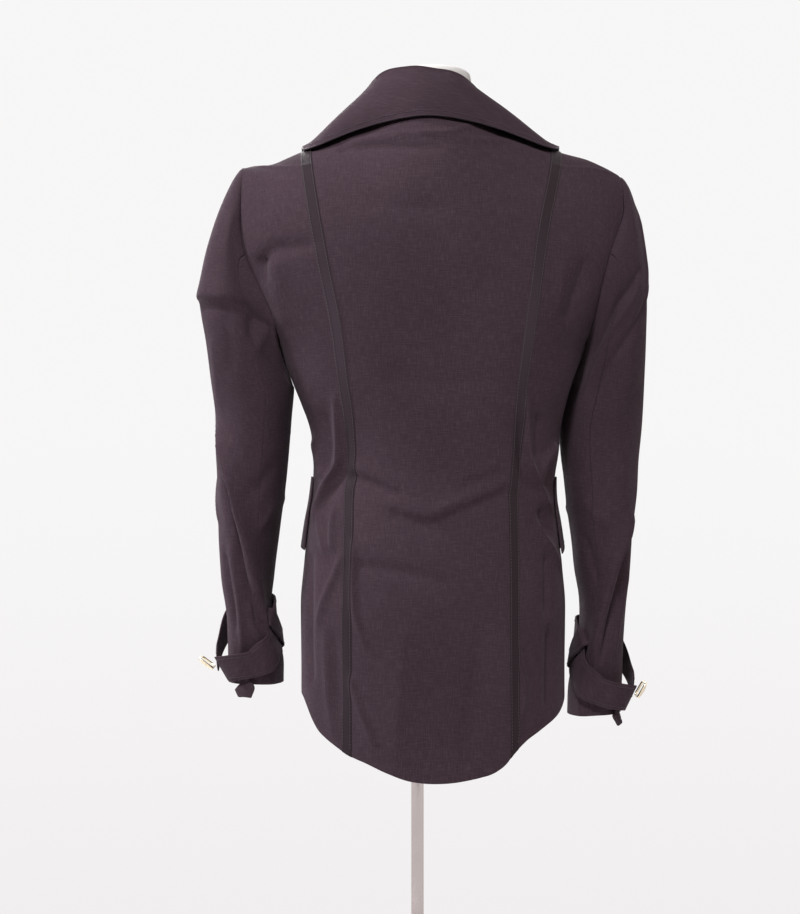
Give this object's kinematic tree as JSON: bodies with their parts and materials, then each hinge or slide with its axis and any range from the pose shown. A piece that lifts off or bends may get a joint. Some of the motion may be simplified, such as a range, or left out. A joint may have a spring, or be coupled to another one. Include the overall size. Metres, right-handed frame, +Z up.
{
  "type": "short coat on a dress form stand",
  "caption": "Short fitted coat with a wide turn-down collar, taped back seams and buckled cuff straps, worn on a limbless dress form on a pole with a round base.",
  "frame": {"origin": "centre of the underside of the stand's round base, on the floor", "axes": "+Z up; the coat's front faces -Y and its back faces +Y; +X is the wearer's left"},
  "size_m": [0.4927, 0.29, 1.449],
  "materials": {
    "coat_cloth": "matte slub weave",
    "seam_tape": "ribbed tape",
    "form_cover": "smooth stretched cover",
    "chrome": "polished",
    "pale_gold": "satin"
  },
  "bodies": {
    "root": {"back_centre": "coat_cloth", "back_side_L": "coat_cloth", "back_side_R": "coat_cloth", "front_L": "coat_cloth", "front_R": "coat_cloth", "tape_back_L": "seam_tape", "tape_back_R": "seam_tape", "sleeve_upper_L": "coat_cloth", "sleeve_upper_R": "coat_cloth", "sleeve_under_L": "coat_cloth", "sleeve_under_R": "coat_cloth", "collar": "coat_cloth", "pocket_flap_L": "coat_cloth", "pocket_flap_R": "coat_cloth", "cuff_strap_L": "coat_cloth", "cuff_strap_R": "coat_cloth", "strap_tail_L": "coat_cloth", "strap_tail_R": "coat_cloth", "belt_loop_L": "coat_cloth", "belt_loop_R": "coat_cloth", "buckle_L": "pale_gold", "buckle_R": "pale_gold", "buckle_prong_L": "pale_gold", "buckle_prong_R": "pale_gold", "eyelet_L": "pale_gold", "eyelet_R": "pale_gold", "form_body": "form_cover", "stand_pole": "chrome", "pole_socket": "chrome", "stand_base": "chrome"}
  },
  "joints": []
}
